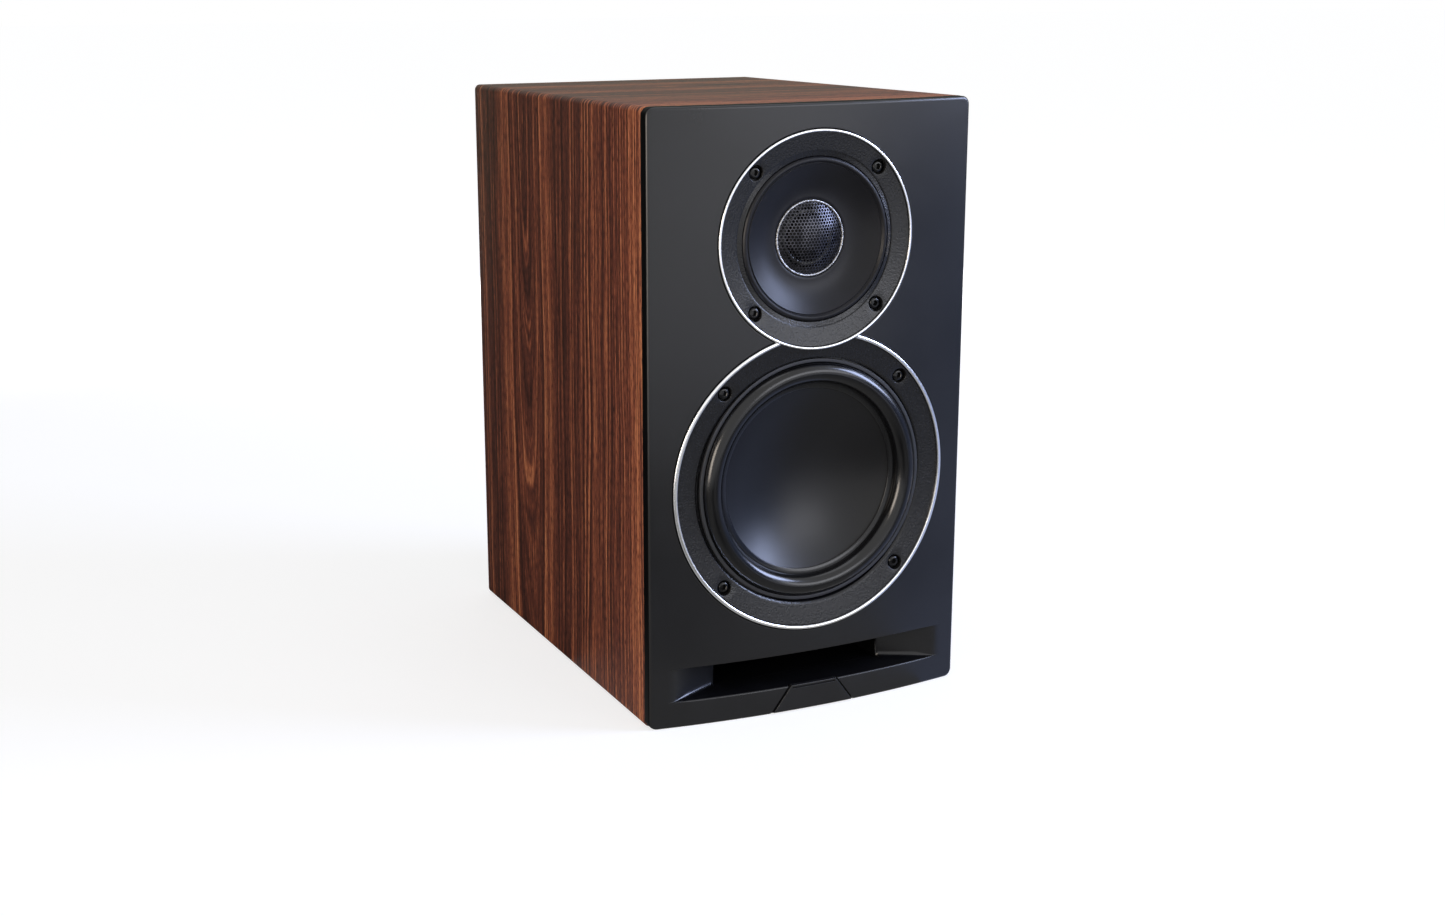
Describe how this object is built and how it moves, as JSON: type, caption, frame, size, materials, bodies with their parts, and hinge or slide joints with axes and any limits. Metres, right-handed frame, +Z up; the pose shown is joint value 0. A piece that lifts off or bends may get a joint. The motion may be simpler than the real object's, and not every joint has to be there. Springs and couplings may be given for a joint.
{
  "type": "bookshelf speaker",
  "caption": "Bookshelf loudspeaker with a walnut case, bowed black baffle, dome tweeter in a waveguide, woofer, front slot port and rear binding posts.",
  "frame": {"origin": "under the middle of the overall box, on the surface it stands on", "axes": "+Z up, the bowed front with the drivers faces -Y, the binding posts face +Y, +X to the right seen from the front"},
  "size_m": [0.208, 0.2888, 0.359],
  "materials": {
    "walnut_wrap": "satin walnut vinyl over fibreboard",
    "fibreboard": "raw medium-density fibreboard",
    "back_vinyl": "black textured vinyl over fibreboard",
    "satin_baffle": "satin black moulding",
    "port_plastic": "moulded black",
    "badge_black": "satin black, bare",
    "wadding": "white polyester wadding",
    "flange_black": "fine-grained black",
    "bright_trim": "bright turned edge",
    "waveguide_satin": "satin black",
    "mesh_steel": "black perforated steel",
    "plated_steel": "zinc plated",
    "ferrite": "dark grey ferrite",
    "dome_cloth": "coated cloth dome",
    "surround_rubber": "smooth butyl rubber",
    "copper_winding": "enamelled copper wire",
    "gasket_foam": "closed-cell foam",
    "front_ring_rubber": "smooth black rubber",
    "cast_frame": "cast, painted black",
    "cone_black": "satin black coated aramid cone",
    "spider_cloth": "resin-treated cloth",
    "cup_plastic": "moulded black",
    "gold_brass": "gold-plated brass",
    "red_cap": "clear-coated red",
    "black_cap": "clear-coated black",
    "circuit_board": "solder-masked glass fibre",
    "capacitor_film": "yellow film wrap",
    "resistor_ceramic": "white cement case",
    "lead_jacket": "twin cable jacket",
    "black_screw": "black oxide steel"
  },
  "bodies": {
    "cabinet": {"back_panel": "back_vinyl", "badge_plate": "badge_black", "black_post_stud": "gold_brass", "bottom_panel": "walnut_wrap", "crossover_board": "circuit_board", "damping_mat": "wadding", "front_baffle": "satin_baffle", "front_panel": "fibreboard", "left_side_panel": "walnut_wrap", "port_duct": "port_plastic", "red_post_stud": "gold_brass", "right_side_panel": "walnut_wrap", "terminal_cup": "cup_plastic", "terminal_screw_1": "black_screw", "terminal_screw_2": "black_screw", "terminal_screw_3": "black_screw", "terminal_screw_4": "black_screw", "top_panel": "walnut_wrap", "tweeter_capacitor": "capacitor_film", "tweeter_flange": "flange_black", "tweeter_inductor": "copper_winding", "tweeter_lead": "lead_jacket", "tweeter_magnet": "ferrite", "tweeter_mesh": "mesh_steel", "tweeter_resistor": "resistor_ceramic", "tweeter_screw_1": "black_screw", "tweeter_screw_2": "black_screw", "tweeter_screw_3": "black_screw", "tweeter_screw_4": "black_screw", "tweeter_surround": "surround_rubber", "tweeter_top_plate": "plated_steel", "tweeter_trim_ring": "bright_trim", "tweeter_waveguide": "waveguide_satin", "tweeter_yoke": "plated_steel", "window_brace": "fibreboard", "woofer_basket": "cast_frame", "woofer_capacitor": "capacitor_film", "woofer_flange": "flange_black", "woofer_front_ring": "front_ring_rubber", "woofer_gasket": "gasket_foam", "woofer_inductor": "copper_winding", "woofer_lead": "lead_jacket", "woofer_magnet": "ferrite", "woofer_screw_1": "black_screw", "woofer_screw_2": "black_screw", "woofer_screw_3": "black_screw", "woofer_screw_4": "black_screw", "woofer_spider": "spider_cloth", "woofer_surround": "surround_rubber", "woofer_top_plate": "plated_steel", "woofer_trim_ring": "bright_trim", "woofer_yoke": "plated_steel"},
    "woofer_cone_body": {"woofer_cone": "cone_black", "woofer_voice_coil": "copper_winding"},
    "tweeter_dome_body": {"tweeter_dome": "dome_cloth", "tweeter_voice_coil": "copper_winding"},
    "red_clamp": {"red_post_washer": "gold_brass"},
    "red_cap": {"red_post_cap": "red_cap"},
    "black_clamp": {"black_post_washer": "gold_brass"},
    "black_cap": {"black_post_cap": "black_cap"}
  },
  "joints": [
    {"name": "woofer_excursion", "type": "slide", "parent": "cabinet", "child": "woofer_cone_body", "axis": [0, -1, 0], "range_m": [-0.006, 0.006], "stiffness_N_per_m": 1200, "deforming": ["woofer_surround", "woofer_spider"]},
    {"name": "tweeter_excursion", "type": "slide", "parent": "cabinet", "child": "tweeter_dome_body", "axis": [0, -1, 0], "range_m": [-0.0005, 0.0005], "stiffness_N_per_m": 500, "deforming": ["tweeter_surround"]},
    {"name": "red_post_travel", "type": "slide", "parent": "cabinet", "child": "red_clamp", "axis": [0, 1, 0], "range_m": [0, 0.005]},
    {"name": "red_post_turn", "type": "hinge", "parent": "red_clamp", "child": "red_cap", "pos_m": [0.0095, 0.1324, 0.105], "axis": [0, 1, 0], "range_deg": [0, 1800]},
    {"name": "black_post_travel", "type": "slide", "parent": "cabinet", "child": "black_clamp", "axis": [0, 1, 0], "range_m": [0, 0.005]},
    {"name": "black_post_turn", "type": "hinge", "parent": "black_clamp", "child": "black_cap", "pos_m": [-0.0095, 0.1324, 0.105], "axis": [0, 1, 0], "range_deg": [0, 1800]}
  ],
  "couplings": [
    {"joint": "red_post_turn", "follows": "red_post_travel", "rad_per_m": 6283.2},
    {"joint": "black_post_turn", "follows": "black_post_travel", "rad_per_m": 6283.2}
  ]
}
